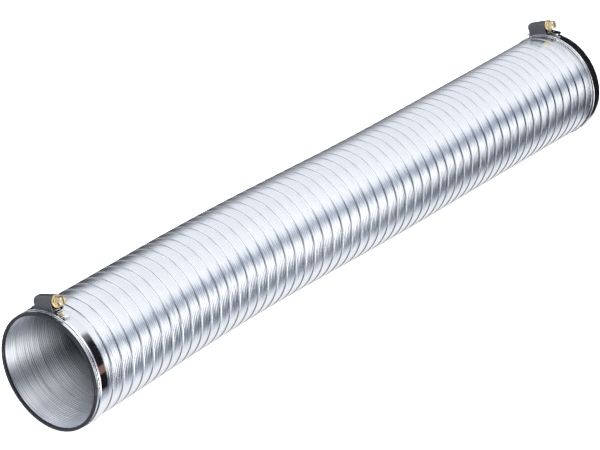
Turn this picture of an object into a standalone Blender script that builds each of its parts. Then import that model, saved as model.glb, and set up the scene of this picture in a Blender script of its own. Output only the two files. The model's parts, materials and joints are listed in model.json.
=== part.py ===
"""Flexible aluminium air duct for an 80 mm spigot, 600 mm long, with a worm-drive clamp on each end.

Frame: metres, +X along the duct from its near end to its far end, +Z up, the origin on the floor below
the middle of the duct. The duct lies on the lowest facets of its two clamp bands.
"""

import math

import bmesh
import bpy
from mathutils import Matrix

# Duct
LENGTH = 0.600
MID_R = 0.0408  # outer radius half way along
END_R = 0.0420  # outer radius at the ends, which are a little wider
WAIST_POWER = 2.2  # how late the duct widens towards its ends
WALL = 0.0016  # depth of the corrugated wall
SEAM_PITCH = 0.0104
SEAM_STEP = 0.0005  # each turn of the strip laps over the next by this much
SECTION_COUNT = 12
PLAIN_END = 0.0132  # flattened stretch under and beside each clamp
FACETS = 32  # round a ring, with one facet lying flat at the bottom
HALF_FACET = Matrix.Rotation(math.pi / FACETS, 4, "Z")
GAP = 0.0003

# Cutters
CUT_PAST = 0.003  # how far a cutter reaches past what it cuts
CUTTER_FACETS = 128

# Edge rings
RIM_DEPTH = 0.0022
RIM_WALL = 0.0024
RIM_CHAMFER = 0.0005
NEAR_RIM_R = 0.0426
FAR_RIM_R = END_R

# Clamps: radii are measured from the duct's axis
BAND_WIDTH = 0.0080
BAND_THICK = 0.0007
BAND_IN_R = END_R + GAP
BAND_OUT_R = BAND_IN_R + BAND_THICK
SADDLE_THICK = 0.0006
SADDLE_IN_R = BAND_OUT_R + GAP
SADDLE_OUT_R = SADDLE_IN_R + SADDLE_THICK
SADDLE_WIDTH = 0.0100
SADDLE_HALF_ANGLE = math.radians(12)
TAIL_IN_R = SADDLE_OUT_R + GAP
TAIL_OUT_R = TAIL_IN_R + BAND_THICK
TAIL_BACK = math.radians(-15)
TAIL_FRONT = math.radians(24)
ARC_STEP = math.radians(3)
NEAR_BAND_SETBACK = 0.0046  # from the near end to the band
FAR_BAND_SETBACK = 0.0016  # leaves the screw's collar flush with the far end
NEAR_CLAMP_TURN = math.radians(6.5)  # from the top of the duct towards +Y
FAR_CLAMP_TURN = math.radians(17.5)
NEAR_HOUSING_TILT = math.radians(10.5)  # how far the screw's head end is lifted
FAR_HOUSING_TILT = math.radians(3.5)

# Housing, round the worm
WORM_AXIS_R = 0.0484
HOUSING_LENGTH = 0.0165
HOUSING_HALF_WIDTH = 0.0051
HOUSING_TOP = 0.0042  # from the worm's axis to the top
HOUSING_WALL = 0.0008
HOUSING_SKIRT = 0.0065
HOUSING_REAR_WALL = 0.0010
ROUND_STEPS = 10

# Screw
WORM_R = 0.0026
WORM_ROOT_R = 0.0019
WORM_PITCH = 0.0026
WORM_TURNS = 5
WORM_CREST = 0.00065  # width of the thread's crest
NECK_R = 0.0020
COLLAR_R = 0.0046
COLLAR_THICK = 0.0016
COLLAR_CHAMFER = 0.0003
HEAD_ACROSS_FLATS = 0.0060
HEAD_LENGTH = 0.0052
HEAD_CHAMFER = 0.0005
SLOT_WIDTH = 0.0012
SLOT_DEPTH = 0.0018
SCREW_FACETS = 24

AXIS_Z = BAND_OUT_R * math.cos(math.pi / FACETS)
NEAR_X = -LENGTH / 2
FAR_X = LENGTH / 2


def clear_scene():
    for thing in list(bpy.data.objects):
        bpy.data.objects.remove(thing, do_unlink=True)


def new_collection(name):
    made = bpy.data.collections.new(name)
    bpy.context.scene.collection.children.link(made)
    return made


def new_material(name, colour, roughness, metallic):
    made = bpy.data.materials.new(name)
    made.use_nodes = True
    shader = made.node_tree.nodes["Principled BSDF"]
    shader.inputs["Base Color"].default_value = (*colour, 1)
    shader.inputs["Roughness"].default_value = roughness
    shader.inputs["Metallic"].default_value = metallic
    return made


def new_empty(name, parent, matrix):
    made = bpy.data.objects.new(name, None)
    bpy.data.collections["flexible_duct"].objects.link(made)
    made.parent = parent
    made.matrix_local = matrix
    return made


def new_object(name, mesh, material, parent, matrix):
    made = bpy.data.objects.new(name, mesh)
    if material is None:
        bpy.data.collections["cutters"].objects.link(made)
        made.hide_render = True
        made.display_type = "WIRE"
    else:
        bpy.data.collections["flexible_duct"].objects.link(made)
        mesh.materials.append(material)
    made.parent = parent
    made.matrix_local = matrix
    return made


def mesh_from(name, build):
    """A new mesh that the function build(bm) has filled."""
    mesh = bpy.data.meshes.new(name)
    bm = bmesh.new()
    build(bm)
    bmesh.ops.recalc_face_normals(bm, faces=bm.faces)
    bm.to_mesh(mesh)
    bm.free()
    return mesh


def turned(name, profile, material, parent, matrix, facets, closed=True):
    """A solid turned about its local Z from (radius, height) points that run down its outer side."""

    def build(bm):
        points = [bm.verts.new((radius, 0, height)) for radius, height in profile]
        for first, second in zip(points, points[1:]):
            bm.edges.new((first, second))
        if closed:
            bm.edges.new((points[-1], points[0]))

    made = new_object(name, mesh_from(name, build), material, parent, matrix)
    screw = made.modifiers.new("Turn", "SCREW")
    screw.axis = "Z"
    screw.angle = math.tau
    screw.steps = facets
    screw.render_steps = facets
    screw.use_merge_vertices = True
    screw.merge_threshold = 0.00001
    return made


def prism(name, outline, length, material, parent, matrix):
    """An (x, z) outline extruded along local Y, from 0 to length."""

    def build(bm):
        face = bm.faces.new([bm.verts.new((x, 0, z)) for x, z in outline])
        grown = bmesh.ops.extrude_face_region(bm, geom=[face])
        moved = [v for v in grown["geom"] if isinstance(v, bmesh.types.BMVert)]
        bmesh.ops.translate(bm, verts=moved, vec=(0, length, 0))

    return new_object(name, mesh_from(name, build), material, parent, matrix)


def arc_strip(name, in_r, out_r, width, start, end, material, parent):
    """A strip bent round the duct's axis. Angles run from the clamp's top towards the screw's head."""

    def build(bm):
        corners = [
            (-width / 2, in_r),
            (width / 2, in_r),
            (width / 2, out_r),
            (-width / 2, out_r),
        ]
        face = bm.faces.new([bm.verts.new((x, 0, z)) for x, z in corners])
        bmesh.ops.rotate(bm, verts=bm.verts, cent=(0, 0, 0), matrix=Matrix.Rotation(start, 3, "X"))
        steps = max(1, round((end - start) / ARC_STEP))
        bmesh.ops.spin(
            bm, geom=[face], cent=(0, 0, 0), axis=(1, 0, 0), angle=end - start, steps=steps
        )
        bmesh.ops.remove_doubles(bm, verts=bm.verts, dist=0.000001)

    return new_object(name, mesh_from(name, build), material, parent, Matrix.Identity(4))


def boolean(target, operation, other):
    cut = target.modifiers.new(operation.title(), "BOOLEAN")
    cut.operation = operation
    cut.object = other


def along_x(x, roll=0.0):
    """Turns an object's Z axis to +X, at x on the duct's axis, with a facet at the bottom at roll 0."""
    place = Matrix.Translation((x, 0, 0))
    return place @ Matrix.Rotation(roll, 4, "X") @ Matrix.Rotation(math.pi / 2, 4, "Y") @ HALF_FACET


def duct_radius(x):
    """Outer radius of the duct at x: a slight waist, and ends flattened to one radius."""
    reach = LENGTH / 2 - PLAIN_END
    share = min(1.0, abs(x) / reach)
    return MID_R + (END_R - MID_R) * share**WAIST_POWER


def seam_places():
    """The x of each lap between turns of the strip, between the two plain ends."""
    first = NEAR_X + PLAIN_END
    count = int((LENGTH - 2 * PLAIN_END) / SEAM_PITCH)
    slack = (LENGTH - 2 * PLAIN_END) - count * SEAM_PITCH
    return [first + slack / 2 + i * SEAM_PITCH for i in range(count + 1)]


def section_profile(low, high):
    """Closed (radius, x) outline of the wall from high to low along the outside, and back inside."""
    outer = [(duct_radius(high), high)]
    for seam in reversed(seam_places()):
        if low + GAP < seam < high - GAP:
            radius = duct_radius(seam)
            outer.append((radius, seam))
            outer.append((radius - SEAM_STEP, seam - GAP))
    outer.append((duct_radius(low), low))
    inner = [(duct_radius(low) - WALL, low), (duct_radius(high) - WALL, high)]
    return outer + inner


def make_duct_sections(axis, material):
    step = LENGTH / SECTION_COUNT
    for i in range(SECTION_COUNT):
        low = NEAR_X + i * step + GAP / 2
        high = low + step - GAP
        if i == 0:
            low = NEAR_X + RIM_DEPTH + GAP
        if i == SECTION_COUNT - 1:
            high = FAR_X - RIM_DEPTH - GAP
        middle = NEAR_X + (i + 0.5) * step
        profile = [(radius, x - middle) for radius, x in section_profile(low, high)]
        turned(f"duct_section_{i + 1:02d}", profile, material, axis, along_x(middle), FACETS)


def make_edge_ring(name, out_r, x, axis, material):
    """A ring with chamfered edges, from x to x + RIM_DEPTH, that covers the cut end of the strip."""
    in_r = out_r - RIM_WALL
    c = RIM_CHAMFER
    profile = [
        (out_r - c, RIM_DEPTH),
        (out_r, RIM_DEPTH - c),
        (out_r, c),
        (out_r - c, 0),
        (in_r + c, 0),
        (in_r, c),
        (in_r, RIM_DEPTH - c),
        (in_r + c, RIM_DEPTH),
    ]
    turned(name, profile, material, axis, along_x(x), FACETS)


def housing_outline(half_width, top, skirt):
    """Straight sides with a rounded top, about the worm's axis."""
    arc = [math.pi * i / ROUND_STEPS for i in range(ROUND_STEPS + 1)]
    crown = [(half_width * math.cos(a), top * math.sin(a)) for a in arc]
    return [(half_width, -skirt), *crown, (-half_width, -skirt)]


def make_housing(name, clamp, worm_frame, material):
    """An inverted U over the worm with a closed rear end, its skirts cut to stand on the saddle."""
    rear = -HOUSING_LENGTH / 2
    shell = prism(
        name,
        housing_outline(HOUSING_HALF_WIDTH, HOUSING_TOP, HOUSING_SKIRT),
        HOUSING_LENGTH,
        material,
        worm_frame,
        Matrix.Translation((0, rear, 0)),
    )
    inner_half_width = HOUSING_HALF_WIDTH - HOUSING_WALL
    inner_top = HOUSING_TOP - HOUSING_WALL
    hollow = prism(
        name + "_hollow",
        housing_outline(inner_half_width, inner_top, HOUSING_SKIRT + CUT_PAST),
        HOUSING_LENGTH,
        None,
        worm_frame,
        Matrix.Translation((0, rear + HOUSING_REAR_WALL, 0)),
    )
    boolean(shell, "DIFFERENCE", hollow)
    for suffix, radius, width in (
        ("_seat", SADDLE_OUT_R + GAP, 2 * (HOUSING_HALF_WIDTH + CUT_PAST)),
        ("_channel", TAIL_OUT_R + GAP, 2 * inner_half_width),
    ):
        half = width / 2
        profile = [(0, half), (radius, half), (radius, -half), (0, -half)]
        place = Matrix.Rotation(math.pi / 2, 4, "Y")
        cutter = turned(name + suffix, profile, None, clamp, place, CUTTER_FACETS, closed=False)
        boolean(shell, "DIFFERENCE", cutter)


def worm_profile():
    """(radius, height) from the collar's front down to the worm's rear end, both on the axis."""
    front = HOUSING_LENGTH / 2 + GAP
    worm_top = HOUSING_LENGTH / 2 - GAP
    collar_edge = COLLAR_R - COLLAR_CHAMFER
    points = [(0, front + COLLAR_THICK), (collar_edge, front + COLLAR_THICK)]
    points += [(COLLAR_R, front + COLLAR_THICK / 2), (collar_edge, front)]
    points += [(NECK_R, front), (NECK_R, worm_top)]
    for i in range(WORM_TURNS):
        crest = worm_top - (i + 0.5) * WORM_PITCH
        points += [(WORM_R, crest + WORM_CREST / 2), (WORM_R, crest - WORM_CREST / 2)]
        points.append((WORM_ROOT_R, crest - WORM_PITCH / 2))
    points.append((0, worm_top - WORM_TURNS * WORM_PITCH))
    return points


def make_screw(name, worm_frame, material):
    """Worm, collar and slotted hexagon head in one piece, on the worm's axis."""
    upright = Matrix.Rotation(-math.pi / 2, 4, "X")
    screw = turned(name, worm_profile(), material, worm_frame, upright, SCREW_FACETS, closed=False)
    head_base = HOUSING_LENGTH / 2 + GAP + COLLAR_THICK / 2
    head_top = HOUSING_LENGTH / 2 + GAP + COLLAR_THICK + HEAD_LENGTH
    corner_r = HEAD_ACROSS_FLATS / 2 / math.cos(math.pi / 6)
    profile = [(0, head_top), (corner_r - HEAD_CHAMFER, head_top), (corner_r, head_top - HEAD_CHAMFER)]
    profile += [(corner_r, head_base), (0, head_base)]
    head = turned(name + "_head", profile, None, worm_frame, upright, 6, closed=False)
    boolean(screw, "UNION", head)
    slot_outline = [
        (-SLOT_WIDTH / 2, -COLLAR_R),
        (SLOT_WIDTH / 2, -COLLAR_R),
        (SLOT_WIDTH / 2, COLLAR_R),
        (-SLOT_WIDTH / 2, COLLAR_R),
    ]
    place = Matrix.Translation((0, head_top - SLOT_DEPTH, 0))
    slot = prism(name + "_slot", slot_outline, SLOT_DEPTH + CUT_PAST, None, worm_frame, place)
    boolean(screw, "DIFFERENCE", slot)


def make_clamp(end, x, turn, tilt, axis, steel, dark_steel, brass):
    """Band, saddle, band tail, housing and screw. In the clamp's frame +Z points at the housing and
    -Y towards the screw's head."""
    place = Matrix.Translation((x, 0, 0)) @ Matrix.Rotation(-turn, 4, "X")
    clamp = new_empty(f"{end}_clamp_axis", axis, place)
    half = BAND_WIDTH / 2
    band = [(BAND_OUT_R, half), (BAND_OUT_R, -half), (BAND_IN_R, -half), (BAND_IN_R, half)]
    turned(f"{end}_band", band, steel, clamp, along_x(0, roll=turn), FACETS)
    arc_strip(
        f"{end}_saddle",
        SADDLE_IN_R,
        SADDLE_OUT_R,
        SADDLE_WIDTH,
        -SADDLE_HALF_ANGLE,
        SADDLE_HALF_ANGLE,
        dark_steel,
        clamp,
    )
    arc_strip(
        f"{end}_band_tail",
        TAIL_IN_R,
        TAIL_OUT_R,
        BAND_WIDTH,
        TAIL_BACK,
        TAIL_FRONT,
        steel,
        clamp,
    )
    # The worm's frame has +Y along the screw towards its head, and its head end lifted.
    lifted = Matrix.Translation((0, 0, WORM_AXIS_R)) @ Matrix.Rotation(-tilt, 4, "X")
    worm_frame = new_empty(f"{end}_worm_axis", clamp, lifted @ Matrix.Rotation(math.pi, 4, "Z"))
    make_housing(f"{end}_housing", clamp, worm_frame, dark_steel)
    make_screw(f"{end}_screw", worm_frame, brass)


def shade():
    for thing in bpy.data.collections["flexible_duct"].objects:
        if thing.type == "MESH":
            for modifier in thing.modifiers:
                if modifier.type == "SCREW":
                    modifier.use_smooth_shade = True


def main():
    clear_scene()
    new_collection("flexible_duct")
    new_collection("cutters")
    aluminium = new_material("aluminium", (0.80, 0.81, 0.83), 0.28, 1.0)
    edge = new_material("edge_ring", (0.06, 0.06, 0.065), 0.55, 0.0)
    steel = new_material("band_steel", (0.62, 0.62, 0.63), 0.12, 1.0)
    dark_steel = new_material("housing_steel", (0.20, 0.20, 0.21), 0.38, 1.0)
    brass = new_material("screw_brass", (0.75, 0.62, 0.36), 0.25, 1.0)
    axis = new_empty("duct_axis", None, Matrix.Translation((0, 0, AXIS_Z)))
    make_duct_sections(axis, aluminium)
    make_edge_ring("near_edge_ring", NEAR_RIM_R, NEAR_X, axis, edge)
    make_edge_ring("far_edge_ring", FAR_RIM_R, FAR_X - RIM_DEPTH, axis, edge)
    near_x = NEAR_X + NEAR_BAND_SETBACK + BAND_WIDTH / 2
    far_x = FAR_X - FAR_BAND_SETBACK - BAND_WIDTH / 2
    make_clamp("near", near_x, NEAR_CLAMP_TURN, NEAR_HOUSING_TILT, axis, steel, dark_steel, brass)
    make_clamp("far", far_x, FAR_CLAMP_TURN, FAR_HOUSING_TILT, axis, steel, dark_steel, brass)
    shade()


main()
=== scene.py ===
"""Looks of a flexible aluminium air duct with a worm-drive clamp on each end.

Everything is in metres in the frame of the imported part: +X along the duct, +Z up, the floor at z = 0.
Angles round the duct run from its top towards -Y, and are called turns.
"""

import json
import math

import bmesh
import bpy
import numpy as np
from mathutils import Matrix, Vector


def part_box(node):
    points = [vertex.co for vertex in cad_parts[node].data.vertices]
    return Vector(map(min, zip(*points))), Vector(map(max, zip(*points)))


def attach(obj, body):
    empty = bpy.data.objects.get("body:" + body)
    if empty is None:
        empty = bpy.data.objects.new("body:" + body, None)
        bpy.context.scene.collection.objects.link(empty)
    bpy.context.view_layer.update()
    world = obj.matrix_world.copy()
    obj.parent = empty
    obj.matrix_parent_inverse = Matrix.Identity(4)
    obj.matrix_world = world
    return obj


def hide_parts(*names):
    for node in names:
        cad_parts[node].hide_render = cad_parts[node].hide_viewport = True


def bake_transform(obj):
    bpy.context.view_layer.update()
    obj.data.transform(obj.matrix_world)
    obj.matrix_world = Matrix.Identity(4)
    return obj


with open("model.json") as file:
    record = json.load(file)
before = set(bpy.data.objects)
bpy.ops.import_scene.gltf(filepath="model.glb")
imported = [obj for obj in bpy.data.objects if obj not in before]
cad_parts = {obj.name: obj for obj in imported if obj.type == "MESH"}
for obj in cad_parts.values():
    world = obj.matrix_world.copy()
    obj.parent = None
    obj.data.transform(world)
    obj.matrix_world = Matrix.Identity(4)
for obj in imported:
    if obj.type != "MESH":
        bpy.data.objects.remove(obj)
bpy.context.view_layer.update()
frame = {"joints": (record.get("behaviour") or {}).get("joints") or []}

JOINTS = {joint["name"]: joint for joint in frame["joints"]}
MM = 0.001

# Duct wall
AXIS_Z = JOINTS["near_clamp_turn"]["pos_m"][2]
NEAR_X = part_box("near_edge_ring")[0].x
FAR_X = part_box("far_edge_ring")[1].x
LENGTH = FAR_X - NEAR_X
MID_R = 40.8 * MM
END_R = 42.0 * MM
WAIST_POWER = 2.2
WALL = 1.2 * MM
SEAM_PITCH = 10.4 * MM
NEAR_PLAIN = 13.0 * MM  # the wall is flat under the clamps
FAR_PLAIN = 9.8 * MM
PLAIN_FADE = 1.6 * MM
WALL_LAP = 0.1 * MM  # how far the wall reaches into the edge rings
COLUMNS = 120
LAND_ROWS = 25
CUT_TOLERANCE = 1e-7
RIB_COUNT = 5  # fine ribs on the strip between two seams
RIB_DEPTH = 0.06 * MM
INNER_RIB_DEPTH = 0.16 * MM
INNER_SEAM_SHARE = 0.45  # how much of the seam's depth shows on the inner side
# The duct lies with a slight sideways bow, as a flexible duct does.
BOW = 4.8 * MM
BOW_CENTRE = -0.116
BOW_REACH = 0.198
# Height of the strip at shares of the way from one seam to the next
SEAM_PROFILE = (
    (0.000, -0.015 * MM),
    (0.040, -0.005 * MM),
    (0.120, 0.00 * MM),
    (0.500, -0.05 * MM),
    (0.780, -0.14 * MM),
    (0.880, -0.23 * MM),
    (0.905, -0.30 * MM),
    (0.918, -0.55 * MM),
    (0.935, -0.78 * MM),
    (0.965, -0.78 * MM),
    (0.982, -0.40 * MM),
)
# Shares of the pitch where the seam's painted shade starts and stops, and where its far flank starts
GROOVE_START, GROOVE_END, FLANK_START = 0.900, 0.035, 0.966
# The seams carry painted shade: slight at the top of the duct, and deeper lower down.
SEAM_SHADE_TOP, FLANK_SHADE_TOP = 0.10, 0.72
SEAM_SHADE_NEAR, SEAM_SHADE_FAR = 0.62, 1.0  # painted shade on the duct's sides, at its two ends
SEAM_SIDE_START, SEAM_SIDE_END = math.radians(38), math.radians(66)  # from the top to the sides
GROOVE_STEEPNESS = 60.0  # how fast the groove's painted shade sets in at its start
INNER_SEAM_SHADE = 0.3  # how much of the painted seam shade shows on the inner side
RIB_START, RIB_END = 0.04, 0.88
SECTIONS = [f"duct_{i + 1:02d}" for i in range(12)]

# Edge rings
RIM_DEPTH = 2.2 * MM
RIM_WALL = 2.4 * MM
RIM_ROUND = 0.75 * MM
RIM_COLUMNS = 160

# Clamps: radii are measured from the duct's axis
BAND_WIDTH = 8.0 * MM
BAND_IN_R = 42.32 * MM
BAND_OUT_R = AXIS_Z - 0.01 * MM  # just clear of the floor
BAND_ROUND = 0.18 * MM
BAND_COLUMNS = 192
SADDLE_IN_R = 43.3 * MM
SADDLE_OUT_R = 43.9 * MM
SADDLE_WIDTH = 10.0 * MM
SADDLE_HALF_ANGLE = math.radians(12)
SADDLE_CORNER = 1.0 * MM
TAIL_IN_R = 44.2 * MM
TAIL_THICK = 0.7 * MM
TAIL_BACK = math.radians(-15)
TAIL_FRONT = math.radians(24)
TAIL_LIFT = 0.5 * MM
TAIL_CORNER = 2.6 * MM
EDGE_FACING = 0.8  # a face that points this much along X is a slit edge
STRIP_STEP = 0.7 * MM  # between rows of the mesh along a bent strip
STRIP_BEVEL = 0.12 * MM
STRIP_TIP_SHARE = 0.12  # a strip's width at its very tip, as a share of its full width
SLOT_PITCH = 2.6 * MM
SLOT_LENGTH = 5.0 * MM
SLOT_GAP = 1.2 * MM
SLOT_SLANT = math.radians(14)
SLOT_END_GAP = 2.2 * SLOT_PITCH  # no slot starts closer to the tip than this
SLOT_ROUND = 0.45 * SLOT_GAP
HOUSING_LENGTH = 16.5 * MM
HOUSING_HALF_WIDTH = 5.1 * MM
HOUSING_TOP = 4.2 * MM  # from the worm's axis to the top
HOUSING_WALL = 0.8 * MM
HOUSING_SKIRT = 6.5 * MM
HOUSING_REAR_WALL = 1.0 * MM
HOUSING_SQUARENESS = 2.5  # 2 is a round top, and more is squarer
HOUSING_BEVEL = 0.28 * MM
# Shares of the housing's length, and the outline's scale there: it is rounded lengthwise too.
HOUSING_STATIONS = (
    (0.0, 0.90),
    (0.03, 0.955),
    (0.08, 0.99),
    (0.14, 1.0),
    (0.93, 1.0),
    (0.98, 1.015),
    (1.0, 1.0),
)
CLEAR = 0.3 * MM
CUTTER_COLUMNS = 180
SHARP_ANGLE = math.radians(50)

# Screw
WORM_R = 2.6 * MM
WORM_ROOT_R = 1.9 * MM
WORM_PITCH = 2.6 * MM
WORM_TURNS = 5
WORM_TIP = 0.3 * MM
WORM_TIP_SHARE = 0.8  # the root's radius at the very tip, as a share of the full one
WORM_FADE = 0.6 * WORM_PITCH
WORM_STEEPNESS = 1.3  # of the thread's flanks
WORM_ROWS = 12  # of the mesh, for each turn of the thread
NECK_R = 2.0 * MM
COLLAR_R = 4.6 * MM
COLLAR_THICK = 1.6 * MM
COLLAR_ROUND = 0.35 * MM
HEAD_ACROSS_FLATS = 6.0 * MM
HEAD_LENGTH = 5.2 * MM
HEAD_FOOT = 0.25 * MM
HEAD_FOOT_SCALE = 1.06
HEAD_CHAMFER = 0.9 * MM
HEAD_ROUND = 0.75 * MM
HEAD_STEPS = 8
DRIVER_SLOT_WIDTH = 1.2 * MM
DRIVER_SLOT_DEPTH = 1.8 * MM
SCREW_COLUMNS = 96
SCREW_SHARP_DEGREES = 32

# Camera
AZIMUTH = math.radians(-52.11)
ELEVATION = math.radians(26.49)
DISTANCE = 1.953
LENS = 159.8
SHIFT = (-0.0492, -0.0229)


# ---------------------------------------------------------------- meshes


def new_piece(name, mesh, materials, body, slot, *nodes):
    """An object with that mesh, which stands for CAD nodes. With a body, it rides on that body. With
    several materials, each face keeps its own material index."""
    piece = bpy.data.objects.new(name, mesh)
    bpy.context.scene.collection.objects.link(piece)
    if not isinstance(materials, (list, tuple)):
        materials = [materials]
    sides = np.zeros(len(mesh.polygons), np.int32)
    mesh.polygons.foreach_get("material_index", sides)
    mesh.materials.clear()
    for material in materials:
        mesh.materials.append(material)
    if len(materials) > 1:
        mesh.polygons.foreach_set("material_index", sides)
    if body:
        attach(piece, body)
    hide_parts(*nodes)
    return piece


def mesh_of(name, points, faces, sharp_degrees=None):
    mesh = bpy.data.meshes.new(name)
    mesh.from_pydata([tuple(p) for p in points], [], faces)
    mesh.update()
    if sharp_degrees is not None:
        mesh.shade_smooth()
        mesh.set_sharp_from_angle(angle=math.radians(sharp_degrees))
    return mesh


def baked(mesh, *modifiers):
    """The mesh with modifiers applied. Each is (type, settings)."""
    carrier = bpy.data.objects.new("carrier", mesh)
    bpy.context.scene.collection.objects.link(carrier)
    for kind, settings in modifiers:
        modifier = carrier.modifiers.new(kind.title(), kind)
        for key, value in settings.items():
            setattr(modifier, key, value)
    graph = bpy.context.evaluated_depsgraph_get()
    made = bpy.data.meshes.new_from_object(carrier.evaluated_get(graph))
    bpy.data.objects.remove(carrier)
    return made


def difference(mesh, *cutters):
    """The mesh less the cutter meshes, which are in the same space."""
    helpers = []
    for cutter in cutters:
        helper = bpy.data.objects.new("cutter", cutter)
        bpy.context.scene.collection.objects.link(helper)
        helpers.append(helper)
    cuts = [("BOOLEAN", {"operation": "DIFFERENCE", "object": helper}) for helper in helpers]
    made = baked(mesh, *cuts)
    for helper in helpers:
        bpy.data.objects.remove(helper)
    return made


def bevelled(mesh, width, segments=3, angle=35):
    made = baked(
        mesh,
        (
            "BEVEL",
            {
                "width": width,
                "segments": segments,
                "limit_method": "ANGLE",
                "angle_limit": math.radians(angle),
                "use_clamp_overlap": True,
                "harden_normals": False,
            },
        ),
    )
    made.shade_smooth()
    made.set_sharp_from_angle(angle=SHARP_ANGLE)
    return made


def rounded_outline(low, high, radius, steps=5):
    """Points round a rectangle with rounded corners, anticlockwise from its low corner."""
    centres = [
        (low[0] + radius, low[1] + radius, math.pi),
        (high[0] - radius, low[1] + radius, 1.5 * math.pi),
        (high[0] - radius, high[1] - radius, 0.0),
        (low[0] + radius, high[1] - radius, 0.5 * math.pi),
    ]
    points = []
    for x, y, start in centres:
        for i in range(steps + 1):
            angle = start + 0.5 * math.pi * i / steps
            points.append((x + radius * math.cos(angle), y + radius * math.sin(angle)))
    return points


def ring_mesh(name, outline, centre, columns):
    """A ring about the duct's axis from a closed (x, radius) outline that runs anticlockwise."""
    count = len(outline)
    points = []
    for j in range(columns):
        turn = math.tau * j / columns
        for x, radius in outline:
            points.append(
                (centre.x + x, centre.y - radius * math.sin(turn), centre.z + radius * math.cos(turn))
            )
    faces = []
    for j in range(columns):
        this, other = j * count, (j + 1) % columns * count
        for i in range(count):
            k = (i + 1) % count
            faces.append((this + i, other + i, other + k, this + k))
    return mesh_of(name, points, faces, 60)


def loft_mesh(name, rows, sharp_degrees):
    """A closed body from rings of points, with a flat face on each end."""
    count = len(rows[0])
    points = [point for row in rows for point in row]
    faces = [tuple(reversed(range(count)))]
    for r in range(len(rows) - 1):
        this, other = r * count, (r + 1) * count
        for i in range(count):
            k = (i + 1) % count
            faces.append((this + i, this + k, other + k, other + i))
    last = (len(rows) - 1) * count
    faces.append(tuple(range(last, last + count)))
    return mesh_of(name, points, faces, sharp_degrees)


def outward(mesh):
    bm = bmesh.new()
    bm.from_mesh(mesh)
    bmesh.ops.recalc_face_normals(bm, faces=bm.faces)
    bm.to_mesh(mesh)
    bm.free()
    return mesh


# ---------------------------------------------------------------- duct wall


def smooth_step(low, high, value):
    share = np.clip((value - low) / (high - low), 0.0, 1.0)
    return share * share * (3.0 - 2.0 * share)


def duct_radius(x):
    """Outer radius: a slight waist between the two ends."""
    share = np.minimum(1.0, np.abs(x) / (LENGTH / 2 - NEAR_PLAIN))
    return MID_R + (END_R - MID_R) * share**WAIST_POWER


def seam_share(x, turn):
    """How far a point is from one seam to the next, from 0 to 1. The seam is a helix."""
    return np.mod((x - NEAR_X) / SEAM_PITCH + turn / math.tau, 1.0)


def relief(x, turn, inside):
    """Height of the strip's profile on the wall, which is never above the plain wall. The inner side
    has the ribs at their full depth right up to the near end, and a shallower seam."""
    share = seam_share(x, turn)
    places = [place for place, _ in SEAM_PROFILE] + [1.0]
    heights = [height for _, height in SEAM_PROFILE] + [SEAM_PROFILE[0][1]]
    height = np.interp(share, places, heights) * (INNER_SEAM_SHARE if inside else 1.0)
    along = np.clip((share - RIB_START) / (RIB_END - RIB_START), 0.0, 1.0)
    depth = INNER_RIB_DEPTH if inside else RIB_DEPTH
    height -= depth * 0.5 * (1.0 - np.cos(math.tau * RIB_COUNT * along))
    plain = (RIM_DEPTH, RIM_DEPTH) if inside else (NEAR_PLAIN, FAR_PLAIN)
    fade = smooth_step(NEAR_X + plain[0], NEAR_X + plain[0] + PLAIN_FADE, x)
    fade *= 1.0 - smooth_step(FAR_X - plain[1] - PLAIN_FADE, FAR_X - plain[1], x)
    return height * fade


def wall_radius(x, turn, inside):
    return duct_radius(x) + relief(x, turn, inside) - (WALL if inside else 0.0)


def bow(x):
    """How far the duct's middle line lies towards +Y at x."""
    share = np.clip(np.abs(x - BOW_CENTRE) / BOW_REACH, 0.0, 1.0)
    return BOW * np.cos(0.5 * np.pi * share) ** 2


def painted_seam_shade(x, turn):
    """How much painted shade the seam's groove has: 0 away from it."""
    share = seam_share(x, turn)
    away = np.abs(np.arctan2(np.sin(turn), np.cos(turn)))
    side = smooth_step(SEAM_SIDE_START, SEAM_SIDE_END, away)
    before = share > 0.5
    flank = (share > FLANK_START) | ~before
    top = np.where(flank, FLANK_SHADE_TOP, SEAM_SHADE_TOP)
    low_down = SEAM_SHADE_NEAR + (SEAM_SHADE_FAR - SEAM_SHADE_NEAR) * (x - NEAR_X) / LENGTH
    shade = top + (low_down - top) * side
    opening = np.clip(1.0 + GROOVE_STEEPNESS * (share - GROOVE_START), 0.0, 1.0)
    closing = np.clip(1.0 - share / GROOVE_END, 0.0, 1.0)
    return shade * np.where(before, opening, closing)


def row_places():
    """Shares of the pitch where the mesh has a row: close together at the seam."""
    land = [RIB_START + (RIB_END - RIB_START) * i / LAND_ROWS for i in range(LAND_ROWS + 1)]
    seam = [place for place, _ in SEAM_PROFILE if not RIB_START < place < RIB_END]
    return np.array(sorted(set(land + seam)))


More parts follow.
